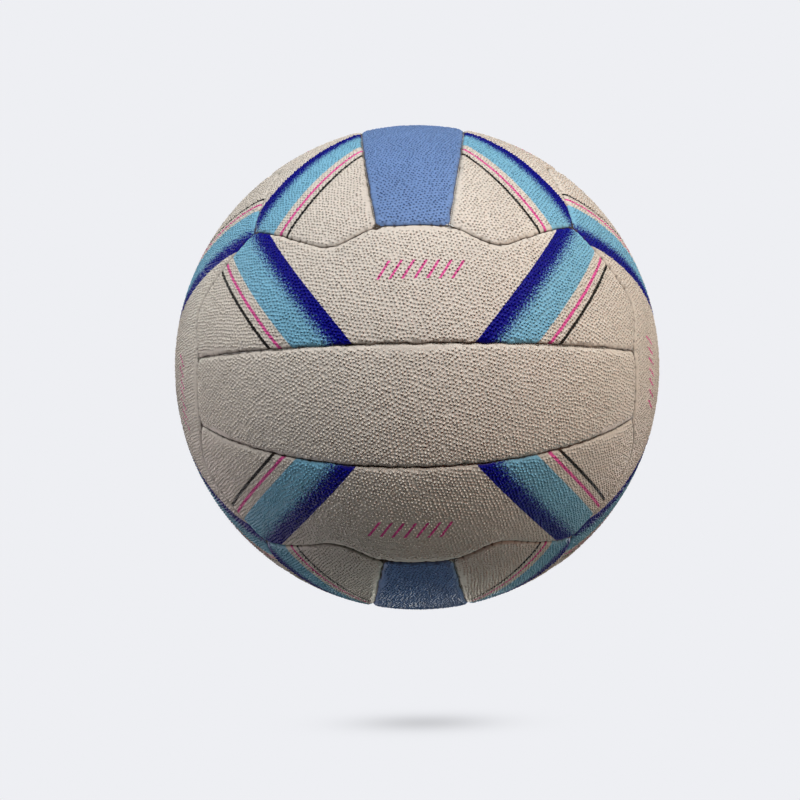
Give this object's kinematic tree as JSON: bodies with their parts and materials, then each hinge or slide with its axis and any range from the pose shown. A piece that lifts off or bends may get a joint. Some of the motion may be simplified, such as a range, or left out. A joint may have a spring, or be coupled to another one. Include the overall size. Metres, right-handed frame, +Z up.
{
  "type": "netball",
  "caption": "Hand-stitched netball: strips of pimpled rubber in six faces over a cloth lining, sewn round an inflated bladder with a needle valve.",
  "frame": {"origin": "centre of the ball", "axes": "+Z up, -Y towards the front face whose strips lie level, +Y along the valve's axis out of the ball"},
  "size_m": [0.2228, 0.2227, 0.2228],
  "materials": {
    "cream_cover": "matt, pimpled grip",
    "blue_cover": "matt, pimpled grip",
    "lining_cloth": "laminated polyester and cotton",
    "seam_thread": "waxed, twisted polyester",
    "bladder_rubber": "smooth butyl",
    "valve_rubber": "smooth, matt",
    "plug_rubber": "smooth, matt"
  },
  "bodies": {
    "root": {"front_upper_panel": "cream_cover", "front_middle_panel": "cream_cover", "front_lower_panel": "cream_cover", "back_upper_panel": "cream_cover", "back_middle_panel": "cream_cover", "back_lower_panel": "cream_cover", "right_front_panel": "cream_cover", "right_middle_panel": "cream_cover", "right_back_panel": "cream_cover", "left_front_panel": "cream_cover", "left_middle_panel": "cream_cover", "left_back_panel": "cream_cover", "top_right_panel": "cream_cover", "top_middle_panel": "blue_cover", "top_left_panel": "cream_cover", "bottom_right_panel": "cream_cover", "bottom_middle_panel": "blue_cover", "bottom_left_panel": "cream_cover", "front_upper_lining": "lining_cloth", "front_middle_lining": "lining_cloth", "front_lower_lining": "lining_cloth", "back_upper_lining": "lining_cloth", "back_middle_lining": "lining_cloth", "back_lower_lining": "lining_cloth", "right_front_lining": "lining_cloth", "right_middle_lining": "lining_cloth", "right_back_lining": "lining_cloth", "left_front_lining": "lining_cloth", "left_middle_lining": "lining_cloth", "left_back_lining": "lining_cloth", "top_right_lining": "lining_cloth", "top_middle_lining": "lining_cloth", "top_left_lining": "lining_cloth", "bottom_right_lining": "lining_cloth", "bottom_middle_lining": "lining_cloth", "bottom_left_lining": "lining_cloth", "front_top_thread": "seam_thread", "front_bottom_thread": "seam_thread", "back_top_thread": "seam_thread", "back_bottom_thread": "seam_thread", "right_front_thread": "seam_thread", "right_back_thread": "seam_thread", "left_front_thread": "seam_thread", "left_back_thread": "seam_thread", "top_right_thread": "seam_thread", "top_left_thread": "seam_thread", "bottom_right_thread": "seam_thread", "bottom_left_thread": "seam_thread", "front_strip_threads": "seam_thread", "back_strip_threads": "seam_thread", "right_strip_threads": "seam_thread", "left_strip_threads": "seam_thread", "top_strip_threads": "seam_thread", "bottom_strip_threads": "seam_thread", "bladder": "bladder_rubber", "valve_seat": "valve_rubber", "valve_plug": "plug_rubber"}
  },
  "joints": []
}
